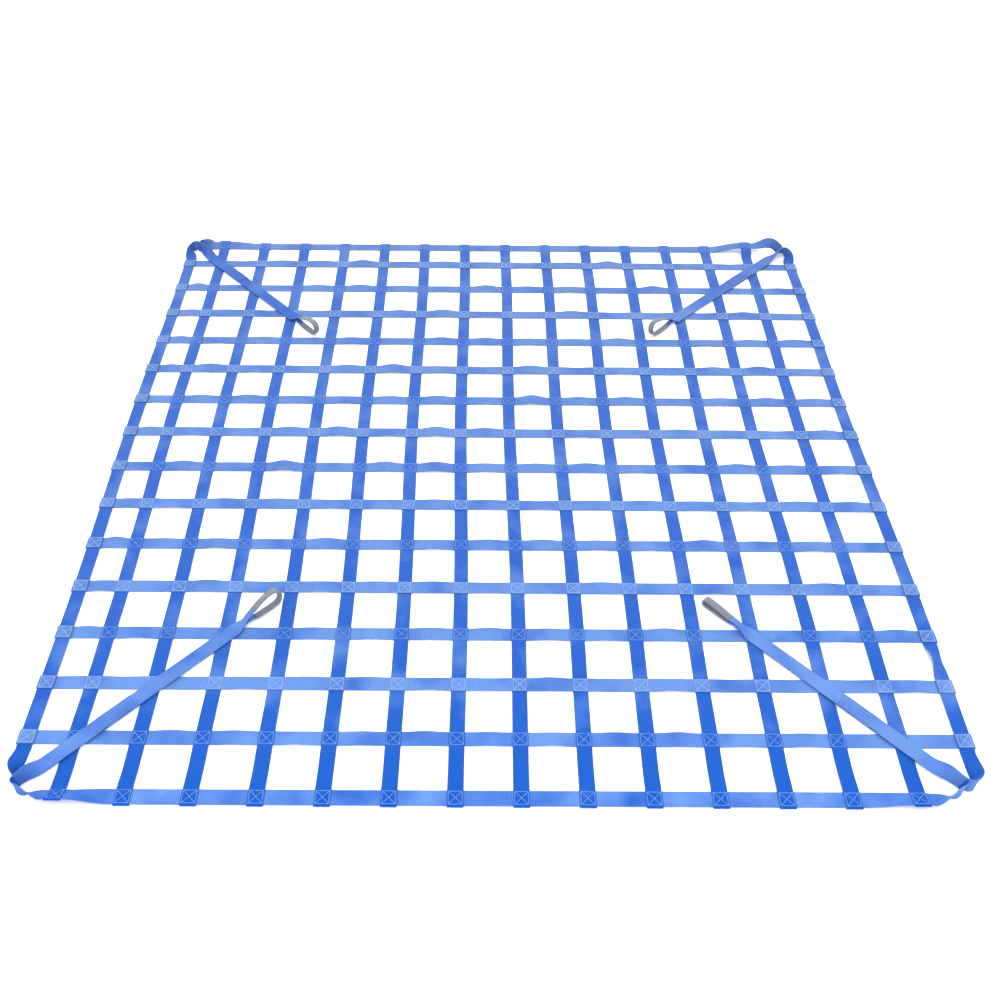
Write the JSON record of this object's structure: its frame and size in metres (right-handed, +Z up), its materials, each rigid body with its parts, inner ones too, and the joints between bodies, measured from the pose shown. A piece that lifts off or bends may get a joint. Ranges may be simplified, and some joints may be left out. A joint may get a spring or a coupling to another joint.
{
  "type": "cargo lifting net",
  "caption": "Square cargo lifting net of flat webbing sewn at its crossings, laid out on the floor, with a lifting sling and a sleeved eye folded in from each corner.",
  "frame": {"origin": "on the floor, under the middle of the net's outline", "axes": "+X to the right along the crosswise straps, +Y to the back along the lengthwise straps, +Z up"},
  "size_m": [3.0191, 3.0094, 0.072],
  "materials": {
    "webbing": "woven synthetic webbing, low sheen",
    "sleeve": "matt woven wear sleeve"
  },
  "bodies": {
    "root": {"lengthwise_02": "webbing", "lengthwise_03": "webbing", "lengthwise_04": "webbing", "lengthwise_05": "webbing", "lengthwise_06": "webbing", "lengthwise_07": "webbing", "lengthwise_08": "webbing", "lengthwise_09": "webbing", "lengthwise_10": "webbing", "lengthwise_11": "webbing", "lengthwise_12": "webbing", "lengthwise_13": "webbing", "lengthwise_14": "webbing", "lengthwise_15": "webbing", "crosswise_02": "webbing", "crosswise_03": "webbing", "crosswise_04": "webbing", "crosswise_05": "webbing", "crosswise_06": "webbing", "crosswise_07": "webbing", "crosswise_08": "webbing", "crosswise_09": "webbing", "crosswise_10": "webbing", "crosswise_11": "webbing", "crosswise_12": "webbing", "crosswise_13": "webbing", "crosswise_14": "webbing", "crosswise_15": "webbing", "border_left": "webbing", "border_right": "webbing", "border_front": "webbing", "border_back": "webbing", "sling_front_left": "webbing", "sling_front_right": "webbing", "sling_back_left": "webbing", "sling_back_right": "webbing", "eye_sleeve_front_left": "sleeve", "eye_sleeve_front_right": "sleeve", "eye_sleeve_back_left": "sleeve", "eye_sleeve_back_right": "sleeve"}
  },
  "joints": []
}
